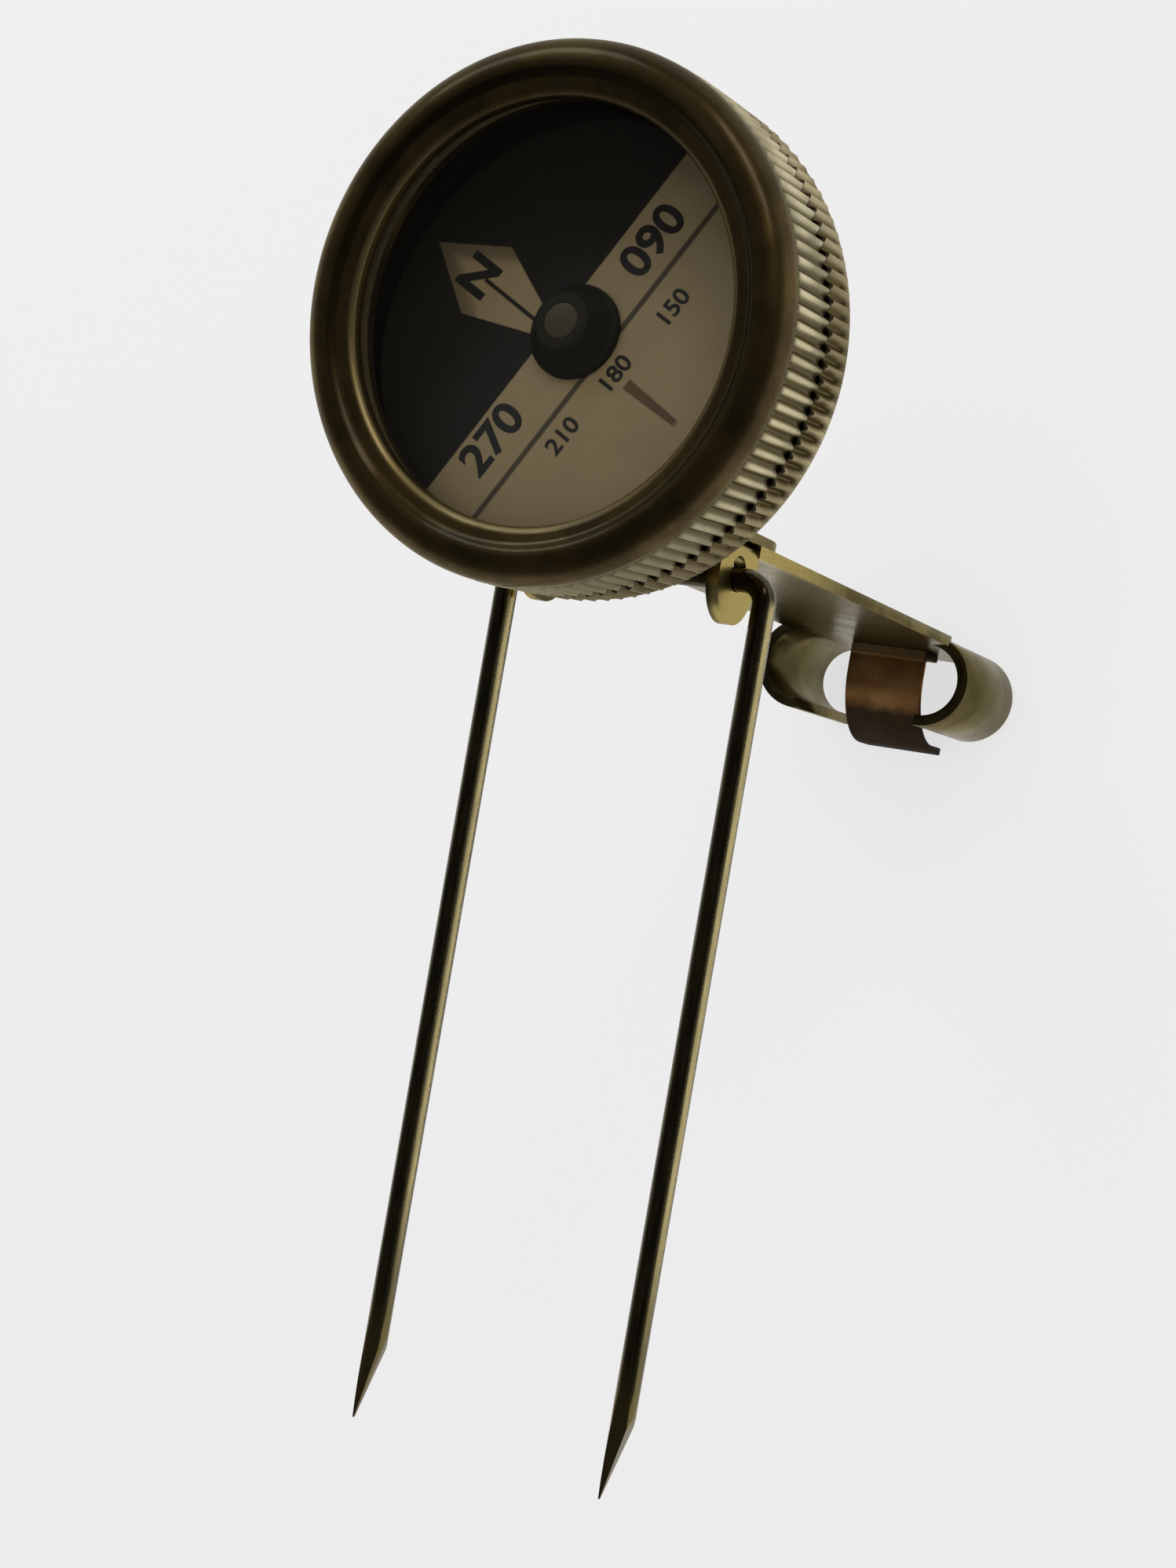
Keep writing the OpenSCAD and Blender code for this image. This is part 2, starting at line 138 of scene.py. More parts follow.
class Value:
    """A number or colour that varies over a surface, with arithmetic."""

    def __init__(self, tree, socket):
        self.tree = tree
        self.socket = socket

    def maths(self, operation, *others):
        node = self.tree.nodes.new("ShaderNodeMath")
        node.operation = operation
        for slot, item in zip(node.inputs, (self,) + others):
            if isinstance(item, Value):
                self.tree.links.new(item.socket, slot)
            else:
                slot.default_value = item
        return Value(self.tree, node.outputs[0])

    def __add__(self, other):
        return self.maths("ADD", other)

    __radd__ = __add__

    def __mul__(self, other):
        return self.maths("MULTIPLY", other)

    __rmul__ = __mul__

    def __sub__(self, other):
        return self.maths("SUBTRACT", other)

    def __rsub__(self, other):
        return (self * -1) + other

    def __truediv__(self, other):
        return self.maths("DIVIDE", other)

    def __pow__(self, other):
        return self.maths("POWER", other)

    def __neg__(self):
        return self * -1

    def __abs__(self):
        return self.maths("ABSOLUTE")

    def low(self, other):
        return self.maths("MINIMUM", other)

    def high(self, other):
        return self.maths("MAXIMUM", other)

    def limited(self):
        return self.high(0).low(1)

    def rise(self, start, end):
        """0 before start, 1 after end, smooth between; start may be above end."""
        step = ((self - start) / (end - start)).limited()
        return step * step * (3 - 2 * step)


class Nodes:
    """The nodes of a material or of the world."""

    def __init__(self, tree):
        self.tree = tree

    def node(self, kind, settings=None, first=None, **inputs):
        """A new node: its settings, then its first socket and its sockets by name."""
        node = self.tree.nodes.new(kind)
        for key, item in (settings or {}).items():
            setattr(node, key, item)
        if first is not None:
            self.feed(node.inputs[0], first)
        for key, item in inputs.items():
            self.feed(node.inputs[key], item)
        return node

    def feed(self, slot, item):
        if isinstance(item, Value):
            self.tree.links.new(item.socket, slot)
        elif isinstance(item, tuple) and len(item) == 3 and len(slot.default_value) == 4:
            slot.default_value = (*item, 1)
        else:
            slot.default_value = item

    def value(self, node, output=0):
        return Value(self.tree, node.outputs[output])

    def split(self, vector):
        parts = self.node("ShaderNodeSeparateXYZ", first=vector)
        return tuple(self.value(parts, k) for k in range(3))

    def mix(self, factor, start, end):
        """A colour between two others, through the colour sockets of a Mix node."""
        node = self.node("ShaderNodeMix", {"data_type": "RGBA"}, first=factor)
        self.feed(node.inputs[6], start)
        self.feed(node.inputs[7], end)
        return self.value(node, 2)


class Finish(Nodes):
    """A procedural material in the making."""

    def __init__(self, name):
        self.material = bpy.data.materials.new(name)
        self.material.use_nodes = True
        super().__init__(self.material.node_tree)
        self.shader = self.tree.nodes["Principled BSDF"]
        self.output = self.tree.nodes["Material Output"]

    def place(self, centre, turn=(0, 0, 0), scale=(1, 1, 1)):
        """Object coordinates in millimetres about a centre in the part's frame."""
        coords = self.node("ShaderNodeTexCoord")
        mapped = self.node("ShaderNodeMapping", {"vector_type": "TEXTURE"},
                           first=self.value(coords, "Object"),
                           Location=tuple(c * 0.001 for c in centre), Rotation=turn,
                           Scale=tuple(0.001 / s for s in scale))
        return self.value(mapped)

    def noise(self, vector, scale, detail, roughness):
        return self.value(self.node("ShaderNodeTexNoise", first=vector, Scale=scale,
                                    Detail=detail, Roughness=roughness))

    def set(self, **inputs):
        for key, item in inputs.items():
            self.feed(self.shader.inputs[key.replace("_", " ")], item)

    def bump(self, height, strength, distance=0.00002):
        node = self.node("ShaderNodeBump", Strength=strength, Distance=distance, Height=height)
        self.feed(self.shader.inputs["Normal"], self.value(node))

    def blend(self, factor, start, end):
        """Lets one shader show through another."""
        node = self.node("ShaderNodeMixShader", first=factor)
        self.tree.links.new(start.outputs[0], node.inputs[1])
        self.tree.links.new(end.outputs[0], node.inputs[2])
        self.tree.links.new(node.outputs[0], self.output.inputs["Surface"])


# Mesh helpers

def new_object(name, data):
    thing = bpy.data.objects.new(name, data)
    bpy.context.scene.collection.objects.link(thing)
    return thing


def parted(points, parts):
    """The outline with the stretches after some of its points parted into equal steps."""
    full = []
    for start, end in zip(points, points[1:] + points[:1]):
        count = parts.get(start, 1)
        full += [(start[0] + (end[0] - start[0]) * k / count,
                  start[1] + (end[1] - start[1]) * k / count) for k in range(count)]
    return full


def spun(points, steps, rounded=(), closed=True):
    """A ring turned from a closed (radius, height) outline, or a solid from an open one
    that starts and ends on the axis. rounded gives corners their size and segments."""
    shape = bmesh.new()
    corners = [shape.verts.new((r, 0, z)) for r, z in points]
    ends = corners[1:] + corners[:1] if closed else corners[1:]
    for start, end in zip(corners, ends):
        shape.edges.new((start, end))
    for corner, size, segments in rounded:
        bmesh.ops.bevel(shape, geom=[corners[points.index(corner)]], offset=size,
                        offset_type="OFFSET", segments=segments, profile=0.5,
                        affect="VERTICES", material=-1)
    bmesh.ops.spin(shape, geom=shape.verts[:] + shape.edges[:], cent=(0, 0, 0), axis=(0, 0, 1),
                   angle=2 * math.pi, steps=steps, use_merge=True)
    bmesh.ops.remove_doubles(shape, verts=shape.verts, dist=1e-5)
    return shape


def softened(node, below=math.inf):
    """A merged copy of a CAD node's mesh, with the sharp edges below a height broken."""
    edge_break = 0.08
    flat = math.radians(0.6)
    sharp = math.radians(28)
    shape = bmesh.new()
    shape.from_mesh(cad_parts[node].data)
    bmesh.ops.scale(shape, vec=(1000, 1000, 1000), verts=shape.verts)
    bmesh.ops.remove_doubles(shape, verts=shape.verts, dist=1e-4)
    bmesh.ops.dissolve_limit(shape, angle_limit=flat, use_dissolve_boundaries=False,
                             verts=shape.verts, edges=shape.edges)
    # edges shorter than this would hold the bevel back to nothing
    bmesh.ops.dissolve_degenerate(shape, dist=0.03, edges=shape.edges)
    keen = [e for e in shape.edges if len(e.link_faces) == 2
            and e.calc_face_angle(0) > sharp and all(v.co.z < below for v in e.verts)]
    bmesh.ops.bevel(shape, geom=keen, offset=edge_break, offset_type="OFFSET", segments=2,
                    profile=0.5, affect="EDGES", clamp_overlap=True, material=-1)
    return shape


def piece(name, shape, place, finish, body, stands_for=()):
    """Turns a bmesh in millimetres into a finished piece that rides on a body."""
    bmesh.ops.transform(shape, matrix=place, verts=shape.verts)
    bmesh.ops.recalc_face_normals(shape, faces=shape.faces)
    for face in shape.faces:
        face.smooth = True
    for line in shape.edges:
        line.smooth = len(line.link_faces) != 2 or line.calc_face_angle(0) < math.radians(35)
    mesh = bpy.data.meshes.new(name)
    shape.to_mesh(mesh)
    shape.free()
    mesh.materials.append(finish.material)
    thing = new_object(name, mesh)
    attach(thing, body)
    if stands_for:
        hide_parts(*stands_for)


def dress(node, finish):
    """Gives a CAD node its finish."""
    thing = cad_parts[node]
    for slot in thing.material_slots:
        slot.material = finish.material
    if not thing.material_slots:
        thing.data.materials.append(finish.material)


# Finishes

def shade(colour, factor):
    return tuple(c * factor for c in colour)


class OldMetal(Finish):
    """Tarnished brass or copper: drifting patina, fine grain and small dark spots."""

    def __init__(self, name, dark, bright, rough, blotch=0.22):
        super().__init__(name)
        self.dark = dark
        self.at = self.place(CASE)
        self.x, self.y, self.z = self.split(self.at)
        self.radius = (self.x * self.x + self.y * self.y).maths("SQRT")
        self.drift = self.noise(self.at, blotch, 4, 0.6)
        self.fine = self.noise(self.at, 7.0, 3, 0.6)
        self.spots = self.noise(self.at, 2.6, 5, 0.7).rise(0.60, 0.72) * 0.5
        tone = (self.drift.rise(0.35, 0.66) * 0.65 + self.fine * 0.5 - 0.08).limited()
        self.colour = self.mix(tone, dark, bright)
        self.metal = 1.0
        smooth, dull = rough
        self.rough = smooth + (dull - smooth) * (1 - tone * 0.7) + self.spots * 0.15

    def stain(self, mask, colour):
        self.colour = self.mix(mask, self.colour, colour)

    def complete(self, turning=0.0, lacquer=0.0, edge_tint=(1.0, 1.0, 1.0)):
        """Feeds the shader; turning is how close the lathe's marks lie."""
        self.stain(self.spots * 0.5, shade(self.dark, 0.35))
        self.set(Base_Color=self.colour, Metallic=self.metal, Roughness=self.rough,
                 Coat_Weight=lacquer, Coat_Roughness=0.12, Specular_Tint=edge_tint)
        height = self.fine * 0.4 + self.spots * -0.6
        if turning:
            across = self.node("ShaderNodeCombineXYZ", X=self.radius * turning,
                               Y=self.z * turning)
            height = height + self.noise(self.value(across), 1.0, 2, 0.5) * 0.7
        self.bump(height, 0.35)


def wear_and_painted_light(f, film, bare):
    """Wear on a case half: dark where the film stays, bare on the ridges, grimy at the seam; with
    painted shade in the crown's hollow, on its upper side and on the ridges towards -y, and
    painted highlights along the window's edge and on the ridges.
    """
    hollow = f.radius.rise(12.55, 12.75) * f.radius.rise(13.25, 13.0)
    upper = f.y.rise(3.0, 12.0)
    # painted shade: darker in the crown's hollow and on the shoulder, more on the upper side
    f.stain(hollow * (0.7 + upper * 0.2), shade(f.dark, 0.45))
    f.stain(upper * f.radius.rise(13.4, 13.9) * 0.6, shade(f.dark, 0.6))
    # painted highlight along the window's edge, fainter on the upper side
    lip = f.radius.rise(WINDOW_R + 0.4, WINDOW_R + 0.15) * f.z.rise(5.0, 5.2)
    f.stain(lip * (0.8 - upper * 0.65), (0.30, 0.23, 0.10))

    # the same swell as the skirt that the ridges rise out of
    skirt_foot = RIDGE_TOP - SKIRT_HEIGHT
    swell = ((f.z - skirt_foot) / SKIRT_HEIGHT).limited() ** SKIRT_CURVE * SKIRT_SWELL
    crest = (f.radius - swell).rise(ROOT_R + 0.02, SIDE_R)
    wall = f.radius.rise(ROOT_R - 0.08, ROOT_R) * f.z.rise(SHOULDER_FOOT, SHOULDER_FOOT - 0.2)
    # painted highlights: bright patches on the ridges, faint towards -y
    highlight_patches = f.noise(f.at, 0.16, 2, 0.5).rise(0.38, 0.62)
    highlight_patches = highlight_patches * (0.16 + (f.y + highlight_patches * 3).rise(-11.5, -4.0) * 0.84)
    ridges = f.mix((crest * (0.20 + f.fine * 0.20 + highlight_patches * 0.52)).limited(), film, bare)
    # painted shade: the ridges darken towards -y
    ridges = f.mix(f.y.rise(-8.0, -13.0) * 0.50, ridges, film)
    f.stain(wall, ridges)
    grime = abs(f.z).rise(0.42, SEAM_EDGE)
    f.stain(grime * 0.9, (0.020, 0.015, 0.008))
    f.rough = f.rough + grime * 0.3


def bezel_finish():
    f = OldMetal("dark_bezel_brass", (0.034, 0.023, 0.008), (0.115, 0.078, 0.028), (0.28, 0.44))
    wear_and_painted_light(f, film=(0.085, 0.070, 0.030), bare=(0.85, 0.77, 0.52))
    f.complete(turning=3.0, lacquer=0.15, edge_tint=(0.8, 0.74, 0.6))
    return f


def rear_finish():
    f = OldMetal("rear_case_brass", (0.085, 0.060, 0.027), (0.22, 0.16, 0.075), (0.18, 0.4))
    wear_and_painted_light(f, film=(0.08, 0.062, 0.028), bare=(0.58, 0.50, 0.32))
    f.complete(turning=2.0, edge_tint=(0.8, 0.74, 0.6))
    return f


def strap_finish():
    f = OldMetal("strap_brass", (0.060, 0.048, 0.020), (0.20, 0.162, 0.072), (0.16, 0.30))
    # bright where cloth rubs the strap's upper edges and ears
    rub = abs(f.x).rise(HALF_STRAP - 0.75, HALF_STRAP - 0.2)
    rub = rub * (f.z + (f.drift - 0.5) * 8).rise(-30.0, -14.0)
    f.stain(rub * (0.55 + f.fine * 0.5).limited(), (0.50, 0.395, 0.135))
    # the catch's rolled sides are duller
    rolled = abs(f.x).rise(HALF_STRAP, HALF_STRAP + 1.0) * f.z.rise(-47.0, -51.0)
    f.stain(rolled * 0.45, shade(f.dark, 0.5))
    f.complete(edge_tint=(0.72, 0.68, 0.56))
    return f


def bracket_finish():
    f = OldMetal("bracket_brass", (0.085, 0.066, 0.030), (0.20, 0.16, 0.075), (0.2, 0.36))
    f.complete(edge_tint=(0.75, 0.7, 0.58))
    return f


def inner_finish():
    f = OldMetal("inner_brass", (0.20, 0.16, 0.08), (0.40, 0.33, 0.18), (0.22, 0.4))
    f.complete()
    return f


def tongue_finish():
    f = OldMetal("copper_tongue", (0.44, 0.215, 0.070), (0.70, 0.385, 0.140), (0.28, 0.44),
                 blotch=0.4)
    # near black towards the lip, and painted shadow on the foot under the strap
    lip = (f.y + (f.drift - 0.5) * 0.7).rise(-16.7, -19.3)
    foot = f.y.rise(-14.75, -14.4)
    f.stain(lip * 0.96, (0.0045, 0.0040, 0.0034))
    f.stain(foot * 0.9, (0.05, 0.038, 0.018))
    darkened_ends = lip.high(foot)
    f.metal = 1 - darkened_ends * 0.9
    f.rough = f.rough + darkened_ends * 0.4
    f.complete(edge_tint=(0.62, 0.51, 0.41))
    f.set(Specular_IOR_Level=0.1)
    return f


def wire_finish():
    """Dark drawn wire, streaked along its length, with a painted highlight along one side, and
    filed at its points.
    """
    f = Finish("dark_wire_brass")
    turn = (-PRONG_LIFT, 0, 0)
    highlight_side = math.radians(25)
    at = f.place(HINGE, turn)
    x, y, z = f.split(at)
    streak = f.noise(f.place(HINGE, turn, scale=(5, 0.35, 5)), 1.0, 4, 0.6)
    fine = f.noise(at, 9.0, 3, 0.6)
    colour = f.mix((streak.rise(0.35, 0.7) * 0.7 + fine * 0.3).limited(),
                   (0.034, 0.029, 0.019), (0.115, 0.094, 0.046))
    # the painted highlight faces right and a little up, and ends before the bend and the points
    across = x - x.maths("SIGN") * (PRONG_GAP / 2)
    towards = across * math.cos(highlight_side) + z * math.sin(highlight_side) + (fine - 0.5) * 0.16
    painted_highlight = towards.rise(0.62, WIRE_R) * (0.40 + streak * 0.8).limited()
    painted_highlight = painted_highlight * (1 - y.rise(-38.0, -47.0) * 0.75) * y.rise(-0.75, -1.8)
    colour = f.mix(painted_highlight, colour, (0.56, 0.47, 0.22))
    filed = f.mix(fine, (0.100, 0.076, 0.026), (0.23, 0.180, 0.064))
    colour = f.mix((y + (streak - 0.5) * 3).rise(-46.5, -50.0) * 0.9, colour, filed)
    f.set(Base_Color=colour, Metallic=1.0, Roughness=0.10 + fine * 0.12)
    f.bump(streak * 0.5 + fine * 0.3, 0.25)
    return f


def plain_finish(name, dark, bright, metallic, rough, scale=2.0, depth=0.25, gloss=0.5):
    """A fine even finish with slight grain, for the small inner pieces."""
    f = Finish(name)
    grain = f.noise(f.place(CASE), scale, 4, 0.6)
    f.set(Base_Color=f.mix(grain, dark, bright), Metallic=metallic,
          Roughness=rough + (grain - 0.5) * 0.2, Specular_IOR_Level=gloss)
    f.bump(grain, depth)
    return f


def card_finish():
    """The card's print: black northern half, pale band, north wedge and its lines, with painted
    shade towards the rim and at the wedge's tip.
    """
    f = Finish("dial_card_print")
    facing = Matrix.Rotation(-DIAL_LEAN, 4, "X") @ Matrix.Rotation(NORTH, 4, "Z")
    face = f.place((ON_DIAL @ Vector((0, 0, 0))) * 1000, turn=tuple(facing.to_euler()))
    # u runs towards north and v to its left, in millimetres from the hub
    u, v, _ = f.split(face)
    south_side = v - 0.45
    v = v - 0.88
    edge = 0.05
    wobble = (f.noise(face, 3.0, 2, 0.5) - 0.5) * 0.06
    paper = f.noise(face, 0.35, 5, 0.6)
    fibre = f.noise(face, 9.0, 3, 0.6)

    wedge_side = abs(v) - (1.06 + (u - 3.3) * 0.345)
    wedge_tip = abs(v) - (11.4 - u) * 0.545
    wedge = wedge_side.high(wedge_tip).high(2.4 - u)
    black = (u + wobble).rise(1.50 - edge, 1.50 + edge) * (wedge + wobble).rise(-edge, edge)
    cross_line = (abs(u + 2.2) - 0.17).rise(edge, -edge) * 0.8
    north_line = (abs(v) - 0.12).rise(edge, -edge) * u.rise(2.3, 2.4) * u.rise(7.3, 7.1)
    south = -u
    taper = abs(south_side) - (0.34 - (south - 4.5).high(0) * 0.034)
    south_line = taper.rise(edge, -edge) * south.rise(4.6, 4.7) * south.rise(8.9, 8.5)

    cream = f.mix((paper * 0.7 + fibre * 0.3).limited(), (0.215, 0.166, 0.089),
                  (0.300, 0.235, 0.131))
    # painted shade: the cream darkens towards the card's rim
    rim = (u * u + v * v).maths("SQRT").rise(9.6, 12.4)
    cream = f.mix(rim * 0.55, cream, (0.14, 0.110, 0.062))
    # painted shade along the wedge's tip edges
    cream = f.mix(wedge_tip.rise(-1.5, -0.4) * u.rise(5.5, 6.5) * 0.75, cream,
                  (0.085, 0.058, 0.036))
    ink = f.mix((fibre * 0.6 + paper * 0.5).limited(), (0.0045, 0.0046, 0.0044),
                (0.014, 0.0132, 0.0110))
    print_colour = f.mix((black + cross_line + north_line).limited(), cream, ink)
    red_brown = f.mix(fibre, (0.058, 0.025, 0.012), (0.110, 0.050, 0.026))
    print_colour = f.mix(south_line * 0.9, print_colour, red_brown)
    f.set(Base_Color=print_colour, Roughness=0.55 + (fibre - 0.5) * 0.2, Specular_IOR_Level=0.3)
    f.bump(fibre, 0.15, 0.00001)
    return f


def pane_finish():
    """Clear pane: sees through, with reflections that grow towards grazing view."""
    f = Finish("clear_crystal")
    smear = f.noise(f.place(CASE), 0.25, 5, 0.65)
    f.set(Base_Color=(0.026, 0.023, 0.018), Roughness=0.03 + smear * 0.08)
    clear = f.node("ShaderNodeBsdfTransparent", Color=(0.95, 0.945, 0.93))
    slant = f.value(f.node("ShaderNodeLayerWeight", Blend=0.5), "Facing")
    f.blend((0.045 + slant ** 5 * 0.955 + smear * 0.02).limited(), clear, f.shader)
    return f


# Pieces

def ridged(shape, low, high, top=None, phase=0.0):
    """Presses the wall into rounded ridges, with pointed ends where they have a top."""
    for v in shape.verts:
        r = math.hypot(v.co.x, v.co.y)
        if r < ROOT_R - 0.15 or not low <= v.co.z <= high:
            continue
        turn = (math.atan2(v.co.y, v.co.x) / (2 * math.pi) * RIDGES - phase) % 1
        bar = (0.5 - 0.5 * math.cos(2 * math.pi * turn)) ** 1.25
        plain = ROOT_R
        if top:
            # the crown's skirt falls to the grooves while the ridges rise out of it
            rise = (v.co.z - top + SKIRT_HEIGHT) / SKIRT_HEIGHT
            plain += SKIRT_SWELL * min(1.0, max(0.0, rise)) ** SKIRT_CURVE
            bar *= min(1.0, max(0.0, (top - v.co.z) / POINTED_END))
        target = max(min(r, plain), ROOT_R + (r - ROOT_R) * bar)
        v.co.x *= target / r
        v.co.y *= target / r


def bezel():
    """Front half of the case: window, stepped lip, crown, shoulder, ridges and bore."""
    window_edge = (WINDOW_R, 5.50)
    lip = [window_edge, (11.78, 5.66), (11.98, 5.80), (12.18, 5.87)]
    hollow = [(12.50, 5.90), (12.66, 5.95), (12.82, 6.07), (12.98, 6.20), (13.16, 6.28)]
    shoulder = [(CREST_R + SHOULDER_R * math.sin(math.radians(a)),
                 SHOULDER_FOOT + SHOULDER_R * math.cos(math.radians(a)))
                for a in range(10, 90, 10)]
    side = (SIDE_R, SHOULDER_FOOT)
    flare = (14.96, 4.4)
    straight = (KNURL_R, 3.4)
    inside = [(BORE_R, HALF_SEAM), (BORE_R, BORE_TOP), (CLAMP_SEAT_R, BORE_TOP),
              (CLAMP_SEAT_R, GASKET_BACK), (PANE_SEAT_R, GASKET_BACK), (PANE_SEAT_R, PANE_SEAT)]
    outline = [(WINDOW_R, PANE_SEAT), *lip, *hollow, (CREST_R, CROWN_TOP), *shoulder,
               side, flare, straight, (KNURL_R, SEAM_EDGE), (SEAM_EDGE_R, HALF_SEAM), *inside]
    shape = spun(parted(outline, {side: 4, flare: 9, straight: 4}), RIDGES * STEPS_A_RIDGE,
                 rounded=((window_edge, 0.1, 3),))
    ridged(shape, 0.04, RIDGE_TOP, top=RIDGE_TOP)
    piece("bezel_with_ridges", shape, IN_CASE, bezel_finish(), "bezel", ("bezel_ring",))


def rear_half():
    """Rear half of the case: floor, rounded corner, ridges and plain collar."""
    ridge_foot = (KNURL_R, -2.8)
    outline = [(BOSS_HOLE_R, REAR_BACK), (13.9, REAR_BACK), (14.5, -3.26), (14.86, -3.1),
               ridge_foot, (KNURL_R, -SEAM_EDGE), (SEAM_EDGE_R, -HALF_SEAM),
               (COLLAR_R, -HALF_SEAM), (COLLAR_R, COLLAR_TOP), (COLLAR_BORE_R, COLLAR_TOP),
               (COLLAR_BORE_R, FLOOR_TOP), (BOSS_HOLE_R, FLOOR_TOP)]
    shape = spun(parted(outline, {ridge_foot: 3}), RIDGES * STEPS_A_RIDGE)
    ridged(shape, -3.06, -0.05, phase=REAR_PHASE)
    piece("rear_case_with_ridges", shape, IN_CASE, rear_finish(), "clip", ("rear_case",))


def pane():
    back, face = (PANE_R, PANE_BACK), (PANE_R, PANE_FACE)
    shape = spun([(0, PANE_BACK), back, face, (0, PANE_FACE)], 128,
                 rounded=((back, 0.12, 2), (face, 0.12, 2)), closed=False)
    piece("crystal_pane", shape, IN_CASE, pane_finish(), "glass", ("crystal",))


def small_inner_pieces():
    """Finishes for the CAD nodes inside the case."""
    brass = inner_finish()
    dress("crystal_gasket", plain_finish("waxed_gasket_fibre", (0.045, 0.036, 0.018),
                                         (0.20, 0.155, 0.075), 0.0, 0.6, scale=3.2, depth=0.5))
    dress("clamp_ring", brass)
    dress("pivot_boss", brass)
    dress("pivot_needle", plain_finish("needle_steel", (0.45, 0.45, 0.47), (0.65, 0.65, 0.67),
                                       1.0, 0.25))
    dress("friction_washer", plain_finish("washer_fibre", (0.03, 0.028, 0.025),
                                          (0.07, 0.06, 0.055), 0.0, 0.75))
    dress("magnet_bar", plain_finish("magnet_steel", (0.10, 0.10, 0.11), (0.22, 0.22, 0.23),
                                     1.0, 0.4))
    dress("pivot_jewel", plain_finish("jewel_red", (0.25, 0.01, 0.03), (0.45, 0.03, 0.07),
                                      0.0, 0.15))
    dress("dial_card", card_finish())


def hub():
    """Turned hub with its stem, flange and cone, and the domed disc in its top."""
    needle_r = 0.6
    needle_top = 1.45
    stem_r = 1.3
    stem_foot = -0.55
    flange_r = 2.75
    flange_foot = CARD_FACE + 0.01
    top = 2.7
    disc_r = 1.04
    disc_seat = 2.5
    flange_edge = (flange_r, 1.1)
    cone_foot = (2.45, 1.26)
    cone_top = (1.65, top)
    outline = [(needle_r, disc_seat), (needle_r, needle_top), (0.94, stem_foot + 0.01),
               (stem_r, stem_foot), (stem_r, flange_foot), (flange_r, flange_foot),
               flange_edge, cone_foot, cone_top, (disc_r + 0.02, top), (disc_r + 0.02, disc_seat)]
    shape = spun(outline, 96,
                 rounded=((flange_edge, 0.12, 3), (cone_foot, 0.12, 3), (cone_top, 0.15, 3)))
    black = plain_finish("hub_black", (0.008, 0.0078, 0.006), (0.016, 0.015, 0.012), 0.0, 0.7,
                         gloss=0.2)
    piece("dial_hub_turned", shape, ON_DIAL, black, "magnet", ("dial_hub",))

    rim = (disc_r, top + 0.01)
    shape = spun([(0, disc_seat), (disc_r, disc_seat), rim, (0, top + 0.05)], 64,
                 rounded=((rim, 0.05, 3),), closed=False)
    brass = plain_finish("dull_hub_brass", (0.036, 0.027, 0.014), (0.060, 0.047, 0.027),
                         0.2, 0.5)
    piece("hub_disc_domed", shape, ON_DIAL, brass, "magnet", ("hub_disc",))


def printed(name, words, height, bold, north, left, ink):
    """Plain printed characters on the card, upright when north is up."""
    size_for_height = 1.38
    ink_depth = 0.006
    font = bpy.data.curves.new(name, "FONT")
    font.body = words
    font.align_x = "CENTER"
    font.align_y = "CENTER"
    font.size = height * size_for_height
    font.offset = bold
    font.resolution_u = 6
    font.extrude = ink_depth
    text = new_object(name, font)
    bpy.context.view_layer.update()
    flat = text.evaluated_get(bpy.context.evaluated_depsgraph_get())
    mesh = bpy.data.meshes.new_from_object(flat)
    shape = bmesh.new()
    shape.from_mesh(mesh)
    bpy.data.objects.remove(text)
    bpy.data.curves.remove(font)
    bpy.data.meshes.remove(mesh)
    bmesh.ops.remove_doubles(shape, verts=shape.verts, dist=1e-3)
    high = [v.co.y for v in shape.verts]
    across = [v.co.x for v in shape.verts]
    bmesh.ops.translate(shape, verts=shape.verts, vec=(
        -left - (max(across) + min(across)) / 2, north - (max(high) + min(high)) / 2,
        CARD_FACE + ink_depth + 0.0005))
    piece(name, shape, ON_DIAL @ Matrix.Rotation(NORTH - math.radians(90), 4, "Z"), ink, "card")


def characters():
    """The letter and the degree numbers: height, boldness, place north and left of the hub."""
    ink = plain_finish("ink_black", (0.005, 0.006, 0.007), (0.014, 0.014, 0.015), 0.0, 0.6,
                       scale=6.0)
    for name, words, height, bold, north, left in (
            ("north_letter", "N", 2.25, 0.11, 7.7, 0.95),
            ("west_degrees", "270", 2.1, 0.08, 0.15, 7.6),
            ("east_degrees", "090", 2.1, 0.08, -0.20, -6.6),
            ("southwest_degrees", "210", 1.1, 0.035, -3.45, 4.9),
            ("south_degrees", "180", 1.1, 0.035, -3.65, 0.3),
            ("southeast_degrees", "150", 1.1, 0.035, -3.95, -4.5)):
        printed(name, words, height, bold, north, left, ink)


def clip():
    """Strap with ears and catch, copper tongue, and the bracket to the case."""
    # the ears' tight corners stay sharp
    piece("strap_with_catch", softened("clip_strap", below=EARS_FOOT), TO_METRES,
          strap_finish(), "clip", ("clip_strap",))
    piece("copper_tongue_bent", softened("spring_tongue"), TO_METRES, tongue_finish(), "clip",
          ("spring_tongue",))
    piece("bracket_plate_bent", softened("case_bracket"), TO_METRES, bracket_finish(), "clip",
          ("case_bracket",))


def drawn_on(shape, ring, step):
    """Draws the wire's open end on by one step and returns the new end."""
    end = set(ring)
    edges = [e for e in shape.edges if len(e.link_faces) < 2 and end.issuperset(e.verts)]
    grown = bmesh.ops.extrude_edge_only(shape, edges=edges)["geom"]
    new = [g for g in grown if isinstance(g, bmesh.types.BMVert)]
    bmesh.ops.translate(shape, verts=new, vec=step)
    return new


